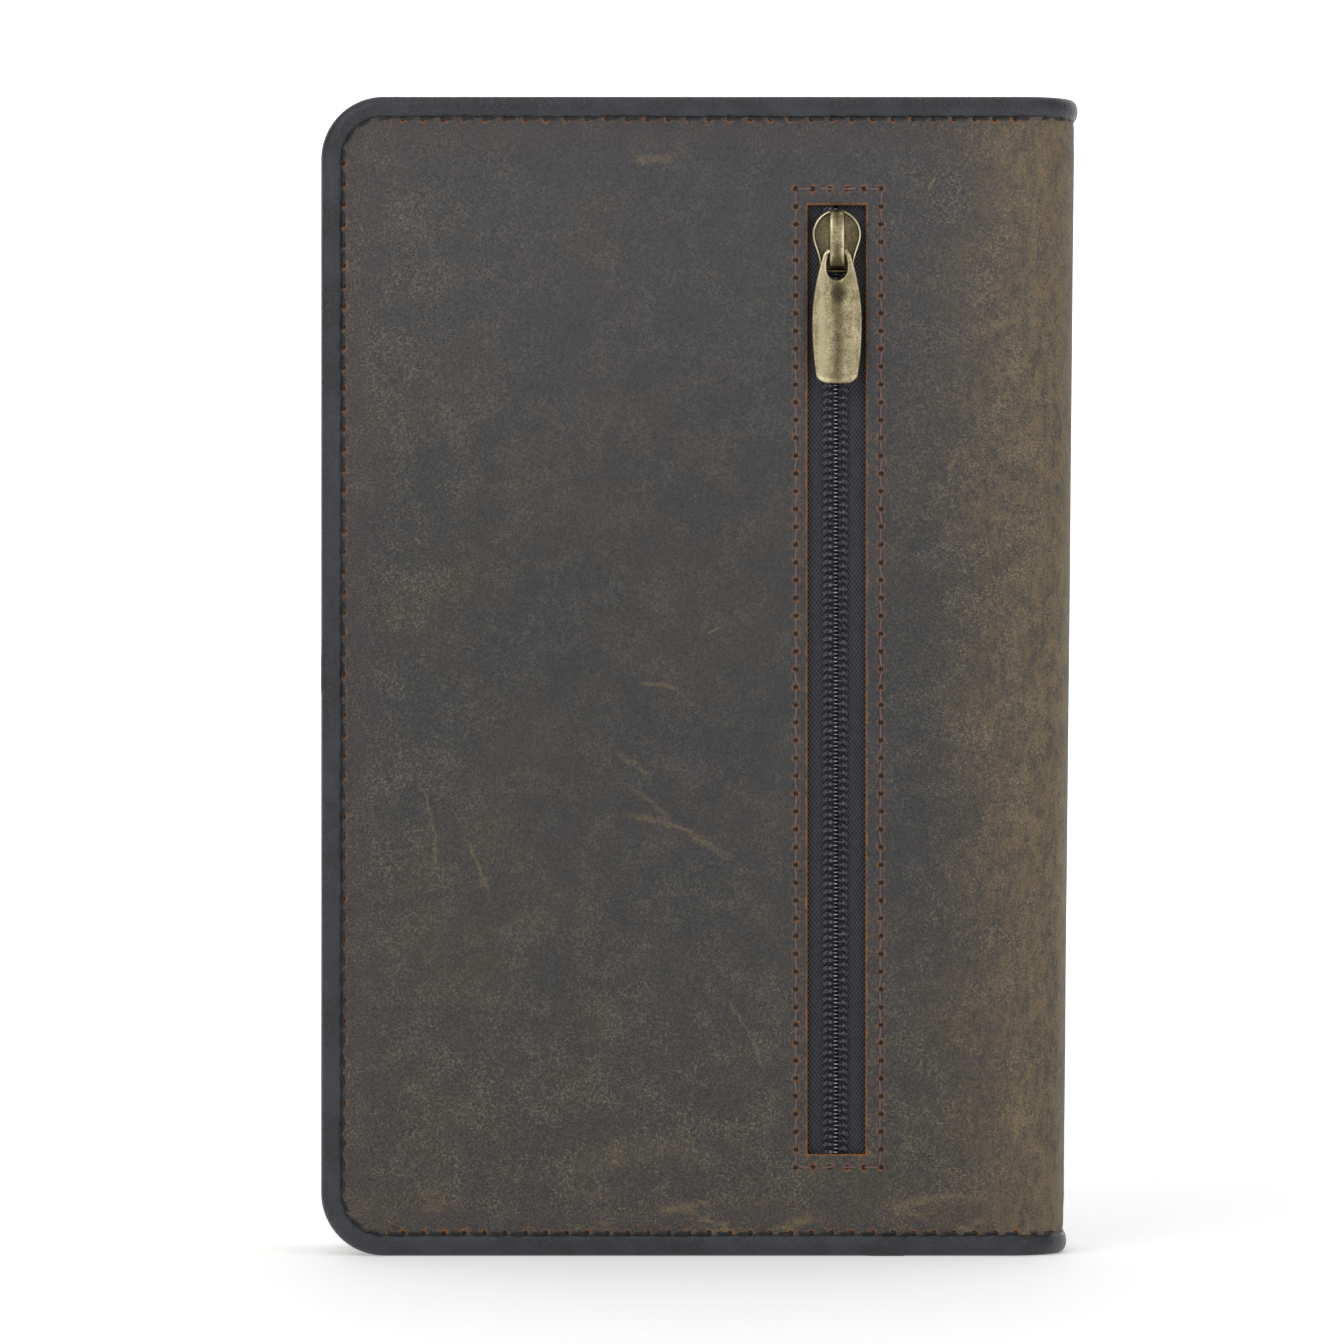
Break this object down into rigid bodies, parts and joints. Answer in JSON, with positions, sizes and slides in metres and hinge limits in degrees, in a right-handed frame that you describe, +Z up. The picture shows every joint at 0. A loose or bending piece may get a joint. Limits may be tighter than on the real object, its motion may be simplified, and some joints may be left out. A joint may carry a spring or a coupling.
{
  "type": "bible in a zipped leather cover",
  "caption": "Closed soft-bound bible in a slip-on distressed leather jacket, with dark edge binding and a zip pocket with slider and pull on the back cover.",
  "frame": {"origin": "middle of the bounding box in X and Y, at the tail edge the closed book stands on", "axes": "+Z up from the tail edge to the head edge, -Y out of the back cover that carries the zip, +X towards the spine"},
  "size_m": [0.15, 0.038, 0.23],
  "materials": {
    "leather": "waxed, distressed dark brown-black hide with golden wear",
    "binding": "fine-grained blue-black leather, soft sheen",
    "black_thread": "twisted polyester thread",
    "brown_thread": "twisted purple-brown thread",
    "lining": "thin woven cloth",
    "sleeve": "thin undyed-edge leather, matt",
    "book_cover": "fine-grained bonded leather over card",
    "mull": "open-weave cotton and paper",
    "end_band": "two-colour woven band",
    "ribbon": "satin ribbon",
    "endpaper": "smooth wove paper",
    "pages": "thin bible paper",
    "zip_tape": "woven polyester tape, near black",
    "zip_coil": "glossy black nylon coil",
    "aged_brass": "aged, plated, darker in the recesses"
  },
  "bodies": {
    "spine": {"spine_leather": "leather", "spine_head_binding": "binding", "spine_tail_binding": "binding", "spine_lining": "lining", "spine_thread": "black_thread", "book_spine": "book_cover", "spine_mull": "mull", "head_band": "end_band", "tail_band": "end_band"},
    "front_pages": {"front_flyleaf": "endpaper", "front_text_block": "pages"},
    "back_pages": {"back_flyleaf": "endpaper", "back_text_block": "pages", "ribbon_marker": "ribbon"},
    "front_cover": {"front_leather": "leather", "front_binding": "binding", "front_edge_thread": "black_thread", "front_lining": "lining", "front_sleeve": "sleeve", "front_book_cover": "book_cover", "front_pastedown": "endpaper"},
    "back_cover": {"back_leather": "leather", "back_binding": "binding", "back_edge_thread": "black_thread", "back_lining": "lining", "back_sleeve": "sleeve", "back_book_cover": "book_cover", "back_pastedown": "endpaper", "zip_tape_left": "zip_tape", "zip_tape_right": "zip_tape", "zip_coil_left": "zip_coil", "zip_coil_right": "zip_coil", "zip_top_stops": "aged_brass", "zip_bottom_stop": "aged_brass", "zip_window_thread": "brown_thread"},
    "zip_slider": {"slider_body": "aged_brass", "slider_bail": "aged_brass"},
    "zip_pull": {"pull_tab": "aged_brass"}
  },
  "joints": [
    {"name": "front_pages_hinge", "type": "hinge", "parent": "spine", "child": "front_pages", "pos_m": [0.0719, 0.01585, 0.115], "axis": [0, 0, -1], "range_deg": [0, 90]},
    {"name": "front_cover_hinge", "type": "hinge", "parent": "front_pages", "child": "front_cover", "pos_m": [0.0719, 0.01585, 0.115], "axis": [0, 0, -1], "range_deg": [0, 90]},
    {"name": "back_pages_hinge", "type": "hinge", "parent": "spine", "child": "back_pages", "pos_m": [0.0719, -0.01195, 0.115], "axis": [0, 0, 1], "range_deg": [0, 90]},
    {"name": "back_cover_hinge", "type": "hinge", "parent": "back_pages", "child": "back_cover", "pos_m": [0.0719, -0.01195, 0.115], "axis": [0, 0, 1], "range_deg": [0, 90]},
    {"name": "zip_slide", "type": "slide", "parent": "back_cover", "child": "zip_slider", "axis": [0, 0, -1], "range_m": [0, 0.17]},
    {"name": "pull_hinge", "type": "hinge", "parent": "zip_slider", "child": "zip_pull", "pos_m": [0.0273, -0.01715, 0.199], "axis": [-1, 0, 0], "range_deg": [0, 140]}
  ]
}
